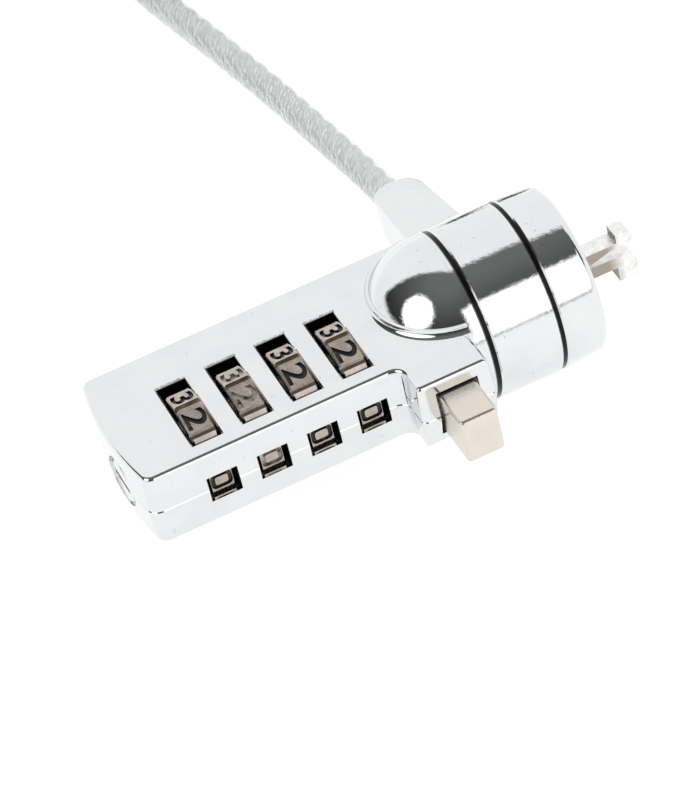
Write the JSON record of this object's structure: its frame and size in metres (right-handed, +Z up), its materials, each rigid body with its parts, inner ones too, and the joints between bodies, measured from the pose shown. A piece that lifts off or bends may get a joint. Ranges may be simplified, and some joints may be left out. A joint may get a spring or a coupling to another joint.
{
  "type": "laptop cable lock",
  "caption": "Chromed combination cable lock: case with dials and release button, barbed hooks in a round head, and a steel cable on a swivel ring.",
  "frame": {"origin": "centre of the cap's front face, the face that meets the laptop, on the head's axis", "axes": "+X out of the cap along the hooks, +Y towards the cable, +Z up, square to the dials' face"},
  "size_m": [0.133, 0.1813, 0.0248],
  "materials": {
    "chrome_case": "polished chrome on cast zinc",
    "dial_nickel": "darker nickel plate with engraved digits",
    "satin_nickel": "satin nickel",
    "hook_steel": "plain hardened steel",
    "plain_steel": "turned steel",
    "spring_steel": "bright wire",
    "steel_screws": "zinc-plated",
    "tail_screw": "polished",
    "black_washer": "moulded nylon",
    "cable_sheath": "steel strands under clear vinyl",
    "tie_black": "woven strap",
    "ferrule_aluminium": "swaged"
  },
  "bodies": {
    "case": {"upper_shell": "chrome_case", "lower_shell": "chrome_case", "shell_screws": "steel_screws", "head_housing": "chrome_case", "rear_washer": "black_washer", "front_washer": "black_washer", "front_cap": "chrome_case", "cap_screws": "steel_screws", "detent_spring": "spring_steel", "hook_pins": "plain_steel", "return_spring": "spring_steel"},
    "dial_1": {"dial_wheel_1": "dial_nickel", "code_sleeve_1": "plain_steel"},
    "dial_2": {"dial_wheel_2": "dial_nickel", "code_sleeve_2": "plain_steel"},
    "dial_3": {"dial_wheel_3": "dial_nickel", "code_sleeve_3": "plain_steel"},
    "dial_4": {"dial_wheel_4": "dial_nickel", "code_sleeve_4": "plain_steel"},
    "code_screw": {"code_set_screw": "tail_screw"},
    "button": {"button": "satin_nickel"},
    "slide": {"actuator": "plain_steel", "spindle": "plain_steel"},
    "upper_jaw": {"hook_upper": "hook_steel"},
    "lower_jaw": {"hook_lower": "hook_steel"},
    "swivel": {"cable_ring": "chrome_case", "cable_anchor": "plain_steel", "cable_lead": "cable_sheath", "cable_tail": "cable_sheath", "cable_coil": "cable_sheath", "coil_tie": "tie_black", "eye_ferrule": "ferrule_aluminium", "cable_eye": "cable_sheath"}
  },
  "joints": [
    {"name": "dial_1_turn", "type": "hinge", "parent": "case", "child": "dial_1", "pos_m": [-0.05574, -0.0032, 0.00065], "axis": [1, 0, 0], "continuous": true},
    {"name": "dial_2_turn", "type": "hinge", "parent": "case", "child": "dial_2", "pos_m": [-0.04851, -0.0032, 0.00065], "axis": [1, 0, 0], "continuous": true},
    {"name": "dial_3_turn", "type": "hinge", "parent": "case", "child": "dial_3", "pos_m": [-0.04128, -0.0032, 0.00065], "axis": [1, 0, 0], "continuous": true},
    {"name": "dial_4_turn", "type": "hinge", "parent": "case", "child": "dial_4", "pos_m": [-0.03405, -0.0032, 0.00065], "axis": [1, 0, 0], "continuous": true},
    {"name": "code_screw_turn", "type": "hinge", "parent": "case", "child": "code_screw", "pos_m": [-0.065, -0.0032, 0.00065], "axis": [1, 0, 0], "range_deg": [0, 90]},
    {"name": "button_press", "type": "slide", "parent": "case", "child": "button", "axis": [0, 1, 0], "range_m": [0, 0.003], "stiffness_N_per_m": 400, "springref_m": -0.001},
    {"name": "slide_pull", "type": "slide", "parent": "case", "child": "slide", "axis": [-1, 0, 0], "range_m": [0, 0.002], "deforming": ["return_spring"]},
    {"name": "upper_jaw_close", "type": "hinge", "parent": "case", "child": "upper_jaw", "pos_m": [-0.003, 0, 0.00046], "axis": [0, 1, 0], "range_deg": [0, 3]},
    {"name": "lower_jaw_close", "type": "hinge", "parent": "case", "child": "lower_jaw", "pos_m": [-0.0028, 0, -0.00213], "axis": [0, -1, 0], "range_deg": [0, 3]},
    {"name": "cable_swivel", "type": "hinge", "parent": "case", "child": "swivel", "pos_m": [-0.0112, 0, 0], "axis": [1, 0, 0], "continuous": true}
  ],
  "couplings": [
    {"joint": "slide_pull", "follows": "button_press", "ratio": 0.66667},
    {"joint": "upper_jaw_close", "follows": "button_press", "rad_per_m": 17.452},
    {"joint": "lower_jaw_close", "follows": "button_press", "rad_per_m": 17.452}
  ]
}
